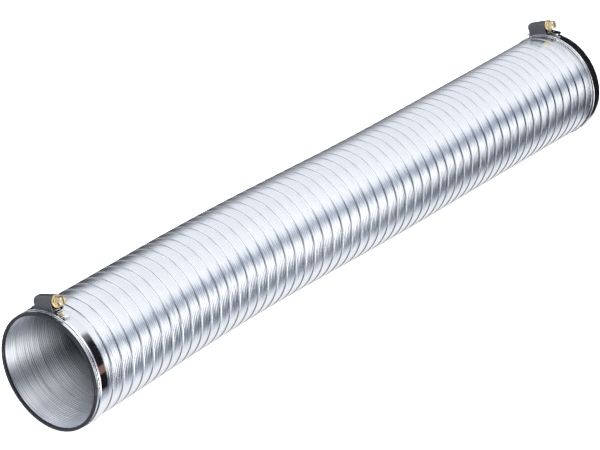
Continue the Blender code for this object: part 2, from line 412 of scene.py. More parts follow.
def sheet_of_wall(low, high):
    """(x, turn, faces, rim edges) of the wall's grid from low to high. Its rows follow the seam round
    the duct, and it is cut square at both ends."""
    places = row_places()
    per_turn = len(places)
    first = math.floor((low - NEAR_X) / SEAM_PITCH) - 1
    last = math.ceil((high - NEAR_X) / SEAM_PITCH) + 2
    shares = (np.arange(first, last)[:, None] + places[None, :]).ravel()
    turns = math.tau * np.arange(COLUMNS) / COLUMNS
    x = NEAR_X + SEAM_PITCH * (shares[:, None] - turns[None, :] / math.tau)
    rows = len(shares)
    index = np.arange(rows * COLUMNS).reshape(rows, COLUMNS)
    # One column on from the last is the first one, a whole turn of rows lower.
    beyond = np.vstack([np.full((per_turn, 1), -1), index[:-per_turn, :1]])
    wide = np.hstack([index, beyond])
    corners = [wide[:-1, :-1], wide[:-1, 1:], wide[1:, 1:], wide[1:, :-1]]
    quads = np.stack(corners, -1).reshape(-1, 4)
    quads = quads[(quads >= 0).all(1)]
    flat_x = x.ravel()
    reach = flat_x[quads]
    quads = quads[(reach.max(1) > low) & (reach.min(1) < high)]
    used, quads = np.unique(quads, return_inverse=True)
    quads = quads.reshape(-1, 4)
    flat_turn = np.broadcast_to(turns, x.shape).ravel()[used]
    points = np.stack([flat_x[used], -np.sin(flat_turn), np.cos(flat_turn)], -1)
    bm = bmesh.new()
    verts = [bm.verts.new(point) for point in points.tolist()]
    for quad in quads.tolist():
        bm.faces.new([verts[i] for i in quad])
    for place, side in ((low, "clear_inner"), (high, "clear_outer")):
        everything = bm.verts[:] + bm.edges[:] + bm.faces[:]
        bmesh.ops.bisect_plane(
            bm,
            geom=everything,
            dist=CUT_TOLERANCE,
            plane_co=(place, 0, 0),
            plane_no=(1, 0, 0),
            **{side: True},
        )
    bm.verts.index_update()
    cut = np.array([vert.co[:] for vert in bm.verts], float)
    faces = [[vert.index for vert in face.verts] for face in bm.faces]
    rim = [
        (loop.vert.index, loop.link_loop_next.vert.index)
        for edge in bm.edges
        if edge.is_boundary
        for loop in edge.link_loops
    ]
    bm.free()
    return cut[:, 0], np.arctan2(-cut[:, 1], cut[:, 2]), faces, rim


def wall_normals(x, turn, inside):
    """Unit normals of the wall, pointing away from the duct's axis."""
    step = 0.05 * MM
    rise = wall_radius(x + step, turn, inside) - wall_radius(x - step, turn, inside)
    slope_x = rise / (2 * step)
    bend = step / END_R
    rise = wall_radius(x, turn + bend, inside) - wall_radius(x, turn - bend, inside)
    slope_turn = rise / (2 * bend) / wall_radius(x, turn, inside)
    sine, cosine = np.sin(turn), np.cos(turn)
    lean = (bow(x + step) - bow(x - step)) / (2 * step)
    normals = np.stack(
        [-slope_x + lean * sine, -sine + slope_turn * cosine, cosine + slope_turn * sine], -1
    )
    return normals / np.linalg.norm(normals, axis=1, keepdims=True)


def wall_points(x, turn, inside):
    radius = wall_radius(x, turn, inside)
    return np.stack([x, bow(x) - radius * np.sin(turn), AXIS_Z + radius * np.cos(turn)], -1)


def wall_mesh(name, low, high):
    """A stretch of the wall, closed: outer side, inner side and a flat rim on each end."""
    x, turn, faces, rim = sheet_of_wall(low, high)
    count = len(x)
    points = np.vstack([wall_points(x, turn, False), wall_points(x, turn, True)])
    inner = [[count + i for i in reversed(face)] for face in faces]
    rims = [[b, a, count + a, count + b] for a, b in rim]
    mesh = bpy.data.meshes.new(name)
    mesh.from_pydata(points.tolist(), [], faces + inner + rims)
    mesh.shade_smooth()
    smooth = np.vstack([wall_normals(x, turn, False), -wall_normals(x, turn, True)])
    corner = np.zeros(len(mesh.loops), np.int32)
    mesh.loops.foreach_get("vertex_index", corner)
    normals = smooth[corner]
    rim_corners = 4 * len(rims)
    rim_x = points[corner[-rim_corners:], 0]
    normals[-rim_corners:] = 0.0
    normals[-rim_corners:, 0] = np.where(rim_x > (low + high) / 2, 1.0, -1.0)
    mesh.normals_split_custom_set(normals.tolist())
    rest = mesh.attributes.new("rest", "FLOAT_VECTOR", "POINT")
    rest.data.foreach_set("vector", points.astype(np.float32).ravel())
    seam = mesh.attributes.new("seam", "FLOAT", "POINT")
    # painted shade for the seam grooves, darker on the duct's sides than on its top
    groove = painted_seam_shade(x, turn)
    both_sides = np.concatenate([groove, groove * INNER_SEAM_SHADE])
    seam.data.foreach_set("value", both_sides.astype(np.float32))
    inner_side = np.zeros(len(mesh.polygons), np.int32)
    inner_side[len(faces) : 2 * len(faces)] = 1
    mesh.polygons.foreach_set("material_index", inner_side)
    return mesh


def make_duct_wall(*materials):
    """The wall in stretches that each span one joint, from mid section to mid section. The
    materials are the outer side's and the inner side's."""
    step = LENGTH / len(SECTIONS)
    middles = [NEAR_X + (i + 0.5) * step for i in range(len(SECTIONS))]
    last = len(SECTIONS) - 2
    for i in range(last + 1):
        low = NEAR_X + RIM_DEPTH - WALL_LAP if i == 0 else middles[i]
        high = FAR_X - RIM_DEPTH + WALL_LAP if i == last else middles[i + 1]
        name = f"duct_wall_{i + 1:02d}"
        nodes = [f"duct_section_{i + 1:02d}"]
        if i == last:
            nodes.append(f"duct_section_{i + 2:02d}")
        piece = new_piece(name, wall_mesh(name, low, high), materials, None, "aluminium", *nodes)
        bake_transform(piece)


# ---------------------------------------------------------------- edge rings and clamps


def make_edge_ring(end, body, material):
    low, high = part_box(f"{end}_edge_ring")
    radius = (high.z - low.z) / 2
    centre = Vector(((low.x + high.x) / 2, 0, AXIS_Z))
    outline = rounded_outline(
        (-RIM_DEPTH / 2, radius - RIM_WALL), (RIM_DEPTH / 2, radius), RIM_ROUND
    )
    mesh = ring_mesh(f"{end}_edge_ring_shade", outline, centre, RIM_COLUMNS)
    new_piece(f"{end}_edge_ring_shade", mesh, material, body, "edge_ring", f"{end}_edge_ring")


def make_band(end, centre, material):
    outline = rounded_outline(
        (-BAND_WIDTH / 2, BAND_IN_R), (BAND_WIDTH / 2, BAND_OUT_R), BAND_ROUND, 4
    )
    mesh = ring_mesh(f"{end}_clamp_band", outline, centre, BAND_COLUMNS)
    new_piece(f"{end}_clamp_band", mesh, material, f"{end}_clamp", "band_steel", f"{end}_band")


def clamp_frames(end):
    """(clamp, worm) matrices. The clamp's +Z points at the housing and its -Y towards the screw's head;
    the worm's +Y runs along the screw to its head."""
    centre = Vector(JOINTS[f"{end}_clamp_turn"]["pos_m"])
    worm_at = Vector(JOINTS[f"{end}_screw_turn"]["pos_m"])
    towards_head = -Vector(JOINTS[f"{end}_screw_turn"]["axis"]).normalized()
    up = (worm_at - centre).normalized()
    side = Vector((1, 0, 0))
    clamp = Matrix((side, up.cross(side), up)).transposed().to_4x4()
    clamp.translation = centre
    worm = Matrix((-side, towards_head, (-side).cross(towards_head))).transposed().to_4x4()
    worm.translation = worm_at
    return clamp, worm


def bent_strip(name, clamp, width, in_r, thick, back, front, lift, tip_round, slots):
    """A flat strip with rounded front corners and optional worm slots, bent round the duct from the
    angle back to the angle front. Its tip is lifted by that much."""
    mean_r = in_r + thick / 2
    start, end = back * mean_r, front * mean_r
    steps = max(8, round((end - start) / STRIP_STEP))
    half = width / 2
    rows = []
    for i in range(steps + 1):
        at = start + (end - start) * i / steps
        short = max(0.0, tip_round - (end - at))
        inset = tip_round - math.sqrt(tip_round**2 - short**2)
        reach = max(half - inset, STRIP_TIP_SHARE * half)
        rows.append([(-reach, at, 0.0), (reach, at, 0.0), (reach, at, thick), (-reach, at, thick)])
    mesh = outward(loft_mesh(name, rows, 40))
    if slots:
        cutters = []
        at = start + SLOT_PITCH
        outline = rounded_outline(
            (-SLOT_LENGTH / 2, -SLOT_GAP / 2), (SLOT_LENGTH / 2, SLOT_GAP / 2), SLOT_ROUND, 4
        )
        while at < end - SLOT_END_GAP:
            place = Matrix.Translation((0, at, 0)) @ Matrix.Rotation(SLOT_SLANT, 4, "Z")
            tall = [
                [place @ Vector((x, y, height)) for x, y in outline]
                for height in (-thick, 2 * thick)
            ]
            cutters.append(outward(loft_mesh("slot", tall, None)))
            at += SLOT_PITCH
        mesh = difference(mesh, *cutters)
    mesh = bevelled(mesh, STRIP_BEVEL, 2)
    for vert in mesh.vertices:
        x, along, height = vert.co
        angle = along / mean_r
        raised = lift * max(0.0, (along / end)) ** 3 if end > 0 else 0.0
        radius = in_r + height + raised
        # From the clamp's top towards the screw's head is a turn towards the clamp's -Y.
        vert.co = clamp @ Vector((x, -radius * math.sin(angle), radius * math.cos(angle)))
    mesh = outward(mesh)
    mesh.set_sharp_from_angle(angle=SHARP_ANGLE)
    return mesh


def housing_outline(half_width, height, skirt, steps=20):
    """Straight sides with a flattened round top, about the worm's axis."""
    power = 2 / HOUSING_SQUARENESS
    top = []
    for i in range(steps + 1):
        angle = math.pi * i / steps
        cosine, sine = math.cos(angle), math.sin(angle)
        x = math.copysign(abs(cosine) ** power, cosine)
        z = abs(sine) ** power
        top.append((half_width * x, height * z))
    return [(half_width, -skirt), *top, (-half_width, -skirt)]


def tube_cutter(radius, clamp):
    """A round bar along the clamp's axis, as thick as what lies under the housing."""
    angles = [math.tau * j / CUTTER_COLUMNS for j in range(CUTTER_COLUMNS)]
    rows = []
    for x in (-2 * HOUSING_LENGTH, 2 * HOUSING_LENGTH):
        rows.append(
            [clamp @ Vector((x, radius * math.cos(a), radius * math.sin(a))) for a in angles]
        )
    return outward(loft_mesh("cutter", rows, None))


def box_cutter(low, high, place):
    corners = ((low[0], low[1]), (high[0], low[1]), (high[0], high[1]), (low[0], high[1]))
    rows = [[place @ Vector((x, y, z)) for x, y in corners] for z in (low[2], high[2])]
    return outward(loft_mesh("cutter", rows, None))


def make_housing(end, clamp, worm, material):
    """Pressed shell over the worm, closed at the rear, with its skirts on the saddle."""
    rear = -HOUSING_LENGTH / 2
    outline = housing_outline(HOUSING_HALF_WIDTH, HOUSING_TOP, HOUSING_SKIRT)
    rows = []
    for share, scale in HOUSING_STATIONS:
        y = rear + HOUSING_LENGTH * share
        rows.append(
            [worm @ Vector((x * scale, y, z * scale if z > 0 else z)) for x, z in outline]
        )
    shell = outward(loft_mesh("shell", rows, 30))
    inner_half = HOUSING_HALF_WIDTH - HOUSING_WALL
    hollow_outline = housing_outline(inner_half, HOUSING_TOP - HOUSING_WALL, HOUSING_SKIRT * 2)
    hollow_rows = [
        [worm @ Vector((x, y, z)) for x, z in hollow_outline]
        for y in (rear + HOUSING_REAR_WALL, -rear + HOUSING_LENGTH)
    ]
    hollow = outward(loft_mesh("hollow", hollow_rows, None))
    mesh = difference(shell, hollow, tube_cutter(SADDLE_OUT_R, clamp))
    # The band's tail runs through the shell just above the saddle.
    slab = tube_cutter(TAIL_IN_R + TAIL_THICK + CLEAR, clamp)
    for vert in slab.vertices:
        local = clamp.inverted() @ vert.co
        local.x = math.copysign(inner_half, local.x)
        vert.co = clamp @ local
    mesh = difference(mesh, slab)
    mesh = bevelled(mesh, HOUSING_BEVEL)
    new_piece(
        f"{end}_clamp_housing", mesh, material, f"{end}_clamp", "housing_steel", f"{end}_housing"
    )


def make_saddle(end, clamp, material):
    mesh = bent_strip(
        "saddle",
        clamp,
        width=SADDLE_WIDTH,
        in_r=SADDLE_IN_R,
        thick=SADDLE_OUT_R - SADDLE_IN_R,
        back=-SADDLE_HALF_ANGLE,
        front=SADDLE_HALF_ANGLE,
        lift=0.0,
        tip_round=SADDLE_CORNER,
        slots=False,
    )
    new_piece(
        f"{end}_clamp_saddle", mesh, material, f"{end}_clamp", "housing_steel", f"{end}_saddle"
    )


def make_tail(end, clamp, material, shaded_edge):
    mesh = bent_strip(
        "tail",
        clamp,
        width=BAND_WIDTH,
        in_r=TAIL_IN_R,
        thick=TAIL_THICK,
        back=TAIL_BACK,
        front=TAIL_FRONT,
        lift=TAIL_LIFT,
        tip_round=TAIL_CORNER,
        slots=True,
    )
    # The strip's slit edges have the second material, which carries painted shade.
    for face in mesh.polygons:
        face.material_index = int(abs(face.normal.x) > EDGE_FACING)
    materials = (material, shaded_edge)
    new_piece(
        f"{end}_clamp_tail", mesh, materials, f"{end}_tail", "band_steel", f"{end}_band_tail"
    )


def worm_row(y, low, high):
    """Radii round the screw at y on its thread, which fades out at both ends."""
    turns = math.tau * np.arange(SCREW_COLUMNS) / SCREW_COLUMNS
    wave = np.cos(math.tau * y / WORM_PITCH - turns)
    height = np.clip(0.5 + WORM_STEEPNESS * wave, 0.0, 1.0)
    fade = min(1.0, (y - low) / WORM_FADE, (high - y) / WORM_FADE)
    return WORM_ROOT_R + (WORM_R - WORM_ROOT_R) * height * max(0.0, fade)


def hexagon_row(limit):
    """Radii round a hexagonal head, none above limit."""
    turns = math.tau * np.arange(SCREW_COLUMNS) / SCREW_COLUMNS
    sixth = math.pi / 3
    off = np.mod(turns + sixth / 2, sixth) - sixth / 2
    return np.minimum(HEAD_ACROSS_FLATS / 2 / np.cos(off), limit)


def disc_profile(low, high, radius, corner, steps=5):
    """(y, radius) pairs from one face of a disc to the other, round both of its rounded edges."""
    core = radius - corner
    arc = [math.pi / 2 * i / steps for i in range(steps + 1)]
    rising = [(low + corner * (1 - math.cos(a)), core + corner * math.sin(a)) for a in arc]
    falling = [(high - corner * (1 - math.sin(a)), core + corner * math.cos(a)) for a in arc]
    return rising + falling


def make_screw(end, worm, material):
    """Worm, neck, collar and slotted hexagon head, turned from one bar."""
    top = HOUSING_LENGTH / 2 - CLEAR
    bottom = top - WORM_TURNS * WORM_PITCH
    round_row = np.ones(SCREW_COLUMNS)
    thread_start = bottom + WORM_TIP
    rows = [
        (bottom, round_row * WORM_ROOT_R * WORM_TIP_SHARE),
        (thread_start, round_row * WORM_ROOT_R),
    ]
    steps = WORM_ROWS * WORM_TURNS
    for i in range(1, steps):
        y = thread_start + (top - thread_start) * i / steps
        rows.append((y, worm_row(y, bottom, top)))
    front = HOUSING_LENGTH / 2 + CLEAR
    collar_top = front + COLLAR_THICK
    rows += [(top, round_row * NECK_R), (front, round_row * NECK_R)]
    for y, radius in disc_profile(front, collar_top, COLLAR_R, COLLAR_ROUND):
        rows.append((y, round_row * radius))
    corner = HEAD_ACROSS_FLATS / 2 / math.cos(math.pi / 6)
    rows.append((collar_top, hexagon_row(corner) * HEAD_FOOT_SCALE))
    rows.append((collar_top + HEAD_FOOT, hexagon_row(corner)))
    head_top = collar_top + HEAD_LENGTH
    for i in range(HEAD_STEPS + 1):
        share = i / HEAD_STEPS
        y = head_top - HEAD_CHAMFER * (1 - share)
        rows.append((y, hexagon_row(corner - HEAD_ROUND * share**1.5)))
    turns = math.tau * np.arange(SCREW_COLUMNS) / SCREW_COLUMNS
    rings = []
    for y, radii in rows:
        rings.append(
            [
                worm @ Vector((radius * math.sin(turn), y, radius * math.cos(turn)))
                for radius, turn in zip(radii, turns)
            ]
        )
    mesh = outward(loft_mesh("screw", rings, SCREW_SHARP_DEGREES))
    slot = box_cutter(
        (-DRIVER_SLOT_WIDTH / 2, head_top - DRIVER_SLOT_DEPTH, -COLLAR_R),
        (DRIVER_SLOT_WIDTH / 2, head_top + DRIVER_SLOT_DEPTH, COLLAR_R),
        worm,
    )
    mesh = difference(mesh, slot)
    mesh.shade_smooth()
    mesh.set_sharp_from_angle(angle=math.radians(SCREW_SHARP_DEGREES))
    new_piece(
        f"{end}_clamp_screw", mesh, material, f"{end}_screw", "screw_brass", f"{end}_screw"
    )


# ---------------------------------------------------------------- materials


def add(tree, kind, inputs=None, **settings):
    """A node with its settings, and its inputs given as values or as other nodes' sockets."""
    made = tree.nodes.new(kind)
    for key, value in settings.items():
        setattr(made, key, value)
    for key, value in (inputs or {}).items():
        if isinstance(value, bpy.types.NodeSocket):
            tree.links.new(value, made.inputs[key])
        else:
            made.inputs[key].default_value = value
    return made


def maths(tree, operation, first, second=0.0):
    return add(tree, "ShaderNodeMath", {0: first, 1: second}, operation=operation).outputs[0]


def spread(tree, value, low, high, to_low, to_high):
    made = add(
        tree,
        "ShaderNodeMapRange",
        {"Value": value, "From Min": low, "From Max": high, "To Min": to_low, "To Max": to_high},
    )
    return made.outputs["Result"]


def noise(tree, place, scales, detail=2.0, roughness=0.5):
    """Noise that is stretched by giving each axis its own scale."""
    scaled = add(tree, "ShaderNodeVectorMath", {0: place, 1: scales}, operation="MULTIPLY")
    made = add(
        tree,
        "ShaderNodeTexNoise",
        {"Vector": scaled.outputs[0], "Scale": 1.0, "Detail": detail, "Roughness": roughness},
    )
    return made.outputs["Fac"]


def mixed(tree, share, first, second):
    made = add(tree, "ShaderNodeMix", {0: share}, data_type="RGBA")
    for key, value in ((6, first), (7, second)):
        if isinstance(value, bpy.types.NodeSocket):
            tree.links.new(value, made.inputs[key])
        else:
            made.inputs[key].default_value = (*value, 1.0)
    return made.outputs[2]


def new_material(name):
    """(material, tree, Principled BSDF)."""
    made = bpy.data.materials.new(name)
    made.use_nodes = True
    return made, made.node_tree, made.node_tree.nodes["Principled BSDF"]


def bump(tree, height, distance, strength):
    made = add(
        tree, "ShaderNodeBump", {"Height": height, "Distance": distance, "Strength": strength}
    )
    return made.outputs["Normal"]


# Aluminium strip
BRIGHT_LOW, BRIGHT_HIGH = (0.82, 0.84, 0.875), (0.915, 0.925, 0.945)
LINE_TONE = (0.77, 0.79, 0.835)
SCORE_TONE = (0.26, 0.27, 0.31)
# colour of the painted shade in the seams
SEAM_SHADE_TONE = (0.03, 0.032, 0.045)
DEEP_TONE = (0.004, 0.004, 0.006)
# Noise scales along X, Y and Z: a high one along X gives lines that run round the duct.
LINE_SCALES = (2600, 26, 26)
HAIR_SCALES = (9000, 90, 90)
LEAN_SCALES = (1100, 14, 14)
SCORE_SCALES = (1500, 9, 9)
CLOUD_SCALES = (90, 22, 22)
DENT_SCALES = (70, 42, 42)
LINE_BUMP = 0.55
DENT_DEPTH, DENT_BUMP = 1.2 * MM, 0.12
SEAM_ROUGHER = 0.2
DEEP_SLANT = 0.5  # the top of the duct's inside counts as deeper than its bottom, by this per height
DEEP_MOST = 0.99


def aluminium_material(name, rough, line_depth, stretched, sway, deep_shade=None):
    """Bright rolled strip: fine lines round the duct, slight handling dents, rougher seams with painted
    shade.
    With deep_shade, it has coarser scores, and darkens between those two depths from the duct's ends.
    """
    made, tree, shader = new_material(name)
    rest = add(tree, "ShaderNodeAttribute", attribute_name="rest").outputs["Vector"]
    seam = add(tree, "ShaderNodeAttribute", attribute_name="seam").outputs["Fac"]
    lines = noise(tree, rest, LINE_SCALES, 4, 0.65)
    hair = noise(tree, rest, HAIR_SCALES, 2, 0.5)
    cloud = noise(tree, rest, CLOUD_SCALES, 3, 0.55)
    dents = noise(tree, rest, DENT_SCALES, 2, 0.45)
    tone = mixed(tree, cloud, BRIGHT_LOW, BRIGHT_HIGH)
    tone = mixed(tree, spread(tree, lines, 0.35, 0.75, 0.0, 0.35), tone, LINE_TONE)
    if deep_shade:
        scores = noise(tree, rest, SCORE_SCALES, 3, 0.7)
        tone = mixed(tree, spread(tree, scores, 0.50, 0.72, 0.0, 0.8), tone, SCORE_TONE)
    # painted shade in the seams
    tone = mixed(tree, seam, tone, SEAM_SHADE_TONE)
    if deep_shade:
        axes = add(tree, "ShaderNodeSeparateXYZ", {0: rest})
        depth = maths(tree, "SUBTRACT", -NEAR_X, maths(tree, "ABSOLUTE", axes.outputs["X"]))
        height = maths(tree, "SUBTRACT", axes.outputs["Z"], AXIS_Z)
        depth = maths(tree, "ADD", depth, maths(tree, "MULTIPLY", height, DEEP_SLANT))
        shade = spread(tree, depth, *deep_shade, 0.0, DEEP_MOST)
        tone = mixed(tree, shade, tone, DEEP_TONE)
    tree.links.new(tone, shader.inputs["Base Color"])
    shader.inputs["Metallic"].default_value = 1.0
    shader.inputs["Anisotropic"].default_value = stretched
    along = add(tree, "ShaderNodeCombineXYZ", {"X": 1.0}).outputs[0]
    tree.links.new(along, shader.inputs["Tangent"])
    rolled = spread(tree, lines, 0.3, 0.7, *rough)
    worn = maths(tree, "ADD", rolled, maths(tree, "MULTIPLY", seam, SEAM_ROUGHER))
    tree.links.new(worn, shader.inputs["Roughness"])
    coarse = maths(tree, "MULTIPLY", lines, 0.75)
    height = maths(tree, "ADD", coarse, maths(tree, "MULTIPLY", hair, 0.25))
    fine = bump(tree, height, line_depth, LINE_BUMP)
    broad = add(
        tree,
        "ShaderNodeBump",
        {"Height": dents, "Distance": DENT_DEPTH, "Strength": DENT_BUMP, "Normal": fine},
    ).outputs["Normal"]
    # Each rolled line leans a little differently round the duct, so reflections have ragged edges.
    lean = spread(tree, noise(tree, rest, LEAN_SCALES, 3, 0.7), 0.25, 0.75, -sway, sway)
    swayed = add(
        tree,
        "ShaderNodeVectorRotate",
        {"Vector": broad, "Angle": lean},
        rotation_type="X_AXIS",
    ).outputs[0]
    tree.links.new(swayed, shader.inputs["Normal"])
    return made


def edge_ring_shade_material():
    """Edge ring in painted shade: near-black for the cut edge that lies in shadow, with a faint moulded
    grain and rubbed edges.
    """
    made, tree, shader = new_material("edge_ring_shade")
    place = add(tree, "ShaderNodeTexCoord").outputs["Object"]
    grain = noise(tree, place, (2600, 2600, 2600), 3, 0.6)
    patch = noise(tree, place, (160, 60, 60), 3, 0.5)
    edge = add(tree, "ShaderNodeNewGeometry").outputs["Pointiness"]
    worn = spread(tree, edge, 0.50, 0.56, 0.0, 0.5)
    # near-black tones: painted shade of the shadowed cut edge
    tone = mixed(tree, patch, (0.008, 0.008, 0.010), (0.018, 0.019, 0.023))
    tone = mixed(tree, worn, tone, (0.07, 0.07, 0.08))
    tree.links.new(tone, shader.inputs["Base Color"])
    tree.links.new(spread(tree, grain, 0.3, 0.7, 0.34, 0.52), shader.inputs["Roughness"])
    shader.inputs["Specular IOR Level"].default_value = 0.22
    tree.links.new(bump(tree, grain, 0.05 * MM, 0.35), shader.inputs["Normal"])
    return made


def band_material():
    """Polished strip steel, with drawn lines along the band and faint scuffs."""
    made, tree, shader = new_material("clamp_band_steel")
    place = add(tree, "ShaderNodeTexCoord").outputs["Object"]
    lines = noise(tree, place, (6500, 40, 40), 3, 0.6)
    scuffs = noise(tree, place, (700, 240, 240), 4, 0.7)
    tone = mixed(tree, scuffs, (0.80, 0.80, 0.81), (0.90, 0.90, 0.91))
    tree.links.new(tone, shader.inputs["Base Color"])
    shader.inputs["Metallic"].default_value = 1.0
    drawn = spread(tree, lines, 0.3, 0.7, 0.07, 0.13)
    scuffed = spread(tree, scuffs, 0.55, 0.75, 0.0, 0.12)
    tree.links.new(maths(tree, "ADD", drawn, scuffed), shader.inputs["Roughness"])
    tree.links.new(bump(tree, lines, 0.03 * MM, 0.25), shader.inputs["Normal"])
    return made


def edge_shade_material():
    """The slit edges of the strip: dull, and near-black with painted shade beside its polished faces.
    """
    made, tree, shader = new_material("clamp_band_edge_shade")
    place = add(tree, "ShaderNodeTexCoord").outputs["Object"]
    tears = noise(tree, place, (900, 900, 2600), 3, 0.6)
    # near-black tones: painted shade along the edge and in the gap beneath it
    tone = mixed(tree, tears, (0.015, 0.015, 0.018), (0.07, 0.07, 0.078))
    tree.links.new(tone, shader.inputs["Base Color"])
    shader.inputs["Metallic"].default_value = 0.7
    tree.links.new(spread(tree, tears, 0.3, 0.7, 0.40, 0.60), shader.inputs["Roughness"])
    tree.links.new(bump(tree, tears, 0.06 * MM, 0.4), shader.inputs["Normal"])
    return made


def housing_material():
    """Dark zinc-plated pressing: mottled, and bright on its worn edges."""
    made, tree, shader = new_material("clamp_housing_steel")
    place = add(tree, "ShaderNodeTexCoord").outputs["Object"]
    mottle = noise(tree, place, (420, 420, 420), 4, 0.6)
    grain = noise(tree, place, (2600, 2600, 2600), 2, 0.5)
    edge = add(tree, "ShaderNodeNewGeometry").outputs["Pointiness"]
    worn = spread(tree, edge, 0.53, 0.62, 0.0, 1.0)
    tone = mixed(tree, mottle, (0.045, 0.043, 0.046), (0.12, 0.115, 0.12))
    tone = mixed(tree, worn, tone, (0.40, 0.39, 0.40))
    tree.links.new(tone, shader.inputs["Base Color"])
    shader.inputs["Metallic"].default_value = 0.85
    tree.links.new(spread(tree, mottle, 0.3, 0.7, 0.30, 0.46), shader.inputs["Roughness"])
    tree.links.new(bump(tree, grain, 0.06 * MM, 0.3), shader.inputs["Normal"])
    return made


def screw_material():
    """Yellow-passivated steel: gold to cream, with turning marks."""
    made, tree, shader = new_material("screw_passivated")
    place = add(tree, "ShaderNodeTexCoord").outputs["Object"]
    bloom = noise(tree, place, (380, 380, 380), 3, 0.6)
    marks = noise(tree, place, (300, 5200, 5200), 2, 0.5)
    edge = add(tree, "ShaderNodeNewGeometry").outputs["Pointiness"]
    worn = spread(tree, edge, 0.52, 0.62, 0.0, 0.7)
    tone = mixed(tree, bloom, (0.36, 0.26, 0.12), (0.70, 0.60, 0.40))
    tone = mixed(tree, worn, tone, (0.93, 0.89, 0.78))
    tree.links.new(tone, shader.inputs["Base Color"])
    shader.inputs["Metallic"].default_value = 1.0
    tree.links.new(spread(tree, marks, 0.3, 0.7, 0.16, 0.32), shader.inputs["Roughness"])
    tree.links.new(bump(tree, marks, 0.04 * MM, 0.3), shader.inputs["Normal"])
    return made


# ---------------------------------------------------------------- studio


def grey(value, blue):
    """A colour of that brightness that leans towards blue."""
    return (value * (1 - blue), value * (1 - 0.55 * blue), value * (1 + 0.2 * blue), 1.0)


def ring_of_light(tree, around, stops):
    """A colour for each angle round the duct's axis, in degrees from straight up towards -Y."""
    ramp = add(tree, "ShaderNodeValToRGB", {"Fac": around})
    ramp.color_ramp.interpolation = "EASE"
    elements = ramp.color_ramp.elements
    while len(elements) > 1:
        elements.remove(elements[-1])
    for i, (degrees, value, blue) in enumerate(stops):
        place = (degrees + 180) / 360
        element = elements[0] if i == 0 else elements.new(place)
        element.position = place
        element.color = grey(value, blue)
    return ramp.outputs["Color"]


# (degrees, brightness, blueness) of the soft boxes and the gaps between them. The near and far strips
# light the two ends of the duct's outside, the mouth light its inside, and beyond is a dark room.
NEAR_LIGHT = (
    (-180, 0.90, 0.02),
    (-140, 0.70, 0.02),
    (-118, 0.05, 0.16),
    (-76, 0.05, 0.18),
    (-67, 0.34, 0.16),
    (-58, 0.88, 0.08),
    (-46, 0.85, 0.06),
    (20, 0.92, 0.05),
    (42, 1.00, 0.03),
    (53, 0.92, 0.08),
    (60, 0.68, 0.15),
    (67, 0.66, 0.15),
    (78, 1.00, 0.05),
    (90, 1.26, 0.01),
    (108, 1.20, 0.02),
    (117, 0.80, 0.12),
    (125, 0.42, 0.22),
    (138, 0.36, 0.24),
    (147, 0.68, 0.16),
    (158, 0.96, 0.06),
    (180, 0.92, 0.02),
)
FAR_LIGHT = (
    (-180, 0.90, 0.02),
    (-140, 0.74, 0.02),
    (-118, 0.16, 0.10),
    (-98, 0.20, 0.12),
    (-86, 0.84, 0.06),
    (-50, 0.84, 0.08),
    (20, 0.90, 0.06),
    (44, 0.98, 0.04),
    (54, 0.84, 0.12),
    (62, 0.40, 0.32),
    (70, 0.30, 0.36),
    (79, 0.62, 0.18),
    (89, 1.14, 0.03),
    (101, 1.02, 0.04),
    (110, 0.56, 0.18),
    (120, 0.07, 0.42),
    (142, 0.02, 0.44),
    (152, 0.22, 0.30),
    (163, 0.74, 0.12),
    (180, 0.92, 0.02),
)
MOUTH_LIGHT = (
    (-180, 1.00, 0.08),
    (-150, 0.80, 0.14),
    (-120, 1.10, 0.10),
    (-90, 1.10, 0.10),
    (-62, 1.00, 0.16),
    (-30, 2.20, 0.06),
    (-5, 1.20, 0.14),
    (12, 2.20, 0.06),
    (34, 2.40, 0.02),
    (50, 1.10, 0.14),
    (70, 0.25, 0.26),
    (90, 0.50, 0.20),
    (102, 4.20, 0.02),
    (126, 4.20, 0.02),
    (138, 0.80, 0.12),
    (162, 0.50, 0.16),
    (180, 1.00, 0.08),
)
BEYOND_LIGHT = (
    (-180, 0.60, 0.04),
    (-100, 0.50, 0.06),
    (-60, 0.80, 0.05),
    (38, 0.86, 0.05),
    (56, 0.05, 0.30),
    (168, 0.04, 0.30),
    (180, 0.60, 0.04),
)
WORLD_STRENGTH = 1.12
# Where one light gives way to the next: how far a direction points along +X, from -1 to 1
MOUTH_EDGES = (0.40, 0.54)
STRIP_EDGES = (0.61, 0.80)
BEYOND_EDGES = (0.88, 0.97)

FLOOR_HALF = 14.0
FLOOR_DROP = 0.2 * MM  # below the lowest point of the duct
FLOOR_TONE = 0.86
FLOOR_GLOW = 0.72

KEY_PLACE = (-0.6, -0.9, 1.6)
KEY_SIZE = 0.9
KEY_POWER = 6.0

# The clamp bands are mirrors, which show the dark surroundings that these cards stand for.
# Each stop is (turn in degrees, colour, opacity).
FLAG_STEPS = 72
FLAG_HEIGHT = 6 * MM
BLACK = (0.012, 0.011, 0.014)
SLATE = (0.10, 0.11, 0.14)
BROWN = (0.24, 0.14, 0.13)
NEAR_FLAG = (
    (-75, BLACK, 0.0),
    (-62, BLACK, 1.0),
    (-14, BLACK, 1.0),
    (-6, BLACK, 0.0),
    (33, SLATE, 0.0),
    (38, SLATE, 0.9),
    (46, BLACK, 1.0),
    (70, BLACK, 1.0),
    (72, BROWN, 1.0),
    (78, BROWN, 1.0),
    (80, BLACK, 1.0),
    (95, BLACK, 1.0),
    (100, SLATE, 0.0),
)
FAR_FLAG = (
    (-75, BLACK, 0.0),
    (-62, BLACK, 1.0),
    (122, BLACK, 1.0),
    (132, SLATE, 0.0),
)
# From and to, along +X from the middle of the band, and how much further each radian before the top
NEAR_FLAG_REACH = (0.5 * MM, 10.5 * MM, 0.0)
FAR_FLAG_REACH = (1.5 * MM, 17.0 * MM, 3.0)


def blended(tree, value, edges, before, after):
    """A colour that goes from before to after as the value crosses the two edges."""
    share = spread(tree, value, *edges, 0.0, 1.0)
    return mixed(tree, share, before, after)


